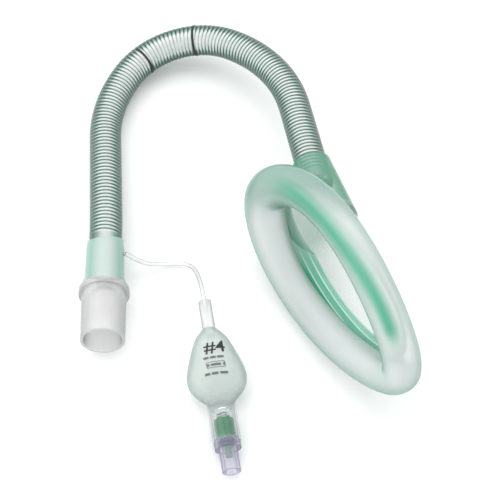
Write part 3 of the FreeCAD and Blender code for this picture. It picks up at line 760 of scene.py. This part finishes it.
def own_piece(name, shape, material):
    """A mesh object of the airway body from a bmesh, which is freed."""
    mesh = bpy.data.meshes.new(name)
    bmesh.ops.recalc_face_normals(shape, faces=shape.faces)
    shape.to_mesh(mesh)
    shape.free()
    mesh.materials.append(material)
    piece = bpy.data.objects.new(name, mesh)
    bpy.context.collection.objects.link(piece)
    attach(piece, "airway")
    return piece


MARK_RADIUS = 5.83
MARK_WIDTH = 0.9
MARK_STEPS = 24
# the name, the place along the tube in millimetres, and the first and last degree round it
for name, distance, first, last in (("depth_mark_1", 121.5, -60, 150), ("depth_mark_2", 99.5, -40, 110)):
    ring = bmesh.new()
    corners = []
    for k in range(MARK_STEPS + 1):
        angle = math.radians(first + (last - first) * k / MARK_STEPS)
        corners.append(ring.verts.new(on_tube(distance, MARK_RADIUS, angle)))
    for a, b in zip(corners, corners[1:]):
        ring.edges.new((a, b))
    middle, heading = along_tube(distance)
    ahead = TUBE_FRAME @ Vector((math.sin(heading), math.cos(heading), 0))
    widened = bmesh.ops.extrude_edge_only(ring, edges=ring.edges[:])
    new_verts = [v for v in widened["geom"] if isinstance(v, bmesh.types.BMVert)]
    bmesh.ops.translate(ring, verts=new_verts, vec=ahead * MARK_WIDTH * MM)
    own_piece(name, ring, INK)

# %% [markdown]
# ## Print on the balloon
# The balloon carries the size number and small lines of text, here plain bars and a frame. An image could be
# wrapped round it. Flat figures and bars that are laid on the curved skin by a Shrinkwrap modifier need no
# image and stay sharp.

# %% Print on the balloon
# grey printing ink, thinner than the number's
FAINT_INK = solid("grey_ink", "#5c6361", 0.5)
# across the balloon, and away from the table, square to its axis
VALVE_SIDE = Vector((0.988202, 0.153158, 0))
VALVE_UP = Vector((0.012896, -0.083206, 0.996449))
# the height over the axis from which the print is laid down on the skin, and its clearance from the skin
PRINT_LIFT = 9.0
PRINT_CLEARANCE = 0.04


def on_print(aside, along):
    """A point in metres over the balloon: aside of the axis, and along it from the neck's top."""
    return (NECK_TOP + VALVE_SIDE * aside + VALVE_AHEAD * along + VALVE_UP * PRINT_LIFT) * MM


def lay_on_balloon(piece):
    """Cut a flat print finer and lay it on the balloon's skin."""
    split = piece.modifiers.new("split", "SUBSURF")
    split.subdivision_type = "SIMPLE"
    split.levels = split.render_levels = 2
    wrap = piece.modifiers.new("lay", "SHRINKWRAP")
    wrap.target = NODES["pilot_balloon"]
    wrap.wrap_method = "PROJECT"
    wrap.use_project_z = True
    wrap.use_negative_direction = True
    wrap.use_positive_direction = False
    wrap.offset = PRINT_CLEARANCE * MM


def bar(shape, aside, along, width, height):
    """A flat bar of the print, in millimetres."""
    grid = bmesh.ops.create_grid(shape, x_segments=4, y_segments=1, size=0.5)
    for vert in grid["verts"]:
        vert.co = on_print(aside + vert.co.x * width, along - vert.co.y * height)


NUMBER_ASIDE, NUMBER_ALONG = 0.5, 19.8
number = bpy.data.curves.new("size_number", "FONT")
number.body = "#4"
number.size = 6.6
number.offset = 0.09
number.align_x = "CENTER"
number.align_y = "CENTER"
number_source = bpy.data.objects.new("size_number_source", number)
bpy.context.collection.objects.link(number_source)
bpy.context.view_layer.update()
flat_number = bpy.data.meshes.new_from_object(number_source)
bpy.data.objects.remove(number_source)
figures = bmesh.new()
figures.from_mesh(flat_number)
for vert in figures.verts:
    vert.co = on_print(vert.co.x + NUMBER_ASIDE, NUMBER_ALONG - vert.co.y)
lay_on_balloon(own_piece("balloon_number", figures, INK))

TEXT_HEIGHT = 0.9
bars = bmesh.new()
# the bars in place of words: across the balloon, along it, and their width
for aside, along, width in ((-2.9, 23.9, 1.8), (-0.6, 23.9, 1.9), (1.9, 23.9, 2.2),
                            (-2.6, 26.9, 0.9), (0.0, 26.9, 3.4), (2.8, 26.9, 0.9),
                            (-3.2, 30.2, 1.8), (-0.7, 30.2, 2.2), (2.3, 30.2, 2.6)):
    bar(bars, aside, along, width, TEXT_HEIGHT)
# the four sides of the frame round the middle row
for aside, along, width, height in ((0, 25.8, 6.0, 0.25), (0, 28.0, 6.0, 0.25), (-3, 26.9, 0.3, 2.2),
                                    (3, 26.9, 0.3, 2.2)):
    bar(bars, aside, along, width, height)
lay_on_balloon(own_piece("balloon_bars", bars, FAINT_INK))

# %% [markdown]
# ## Return spring
# A syringe's tip pushes the plunger 1.5 mm towards the balloon, against a small steel spring, whose end on
# the retainer is the one towards the balloon. The spring could be left as it is, but the plunger would cut
# into it. Here the spring only gets a mesh of its own; it is not shortened.

# %% Return spring
spring = NODES["valve_spring"]
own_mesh(spring)
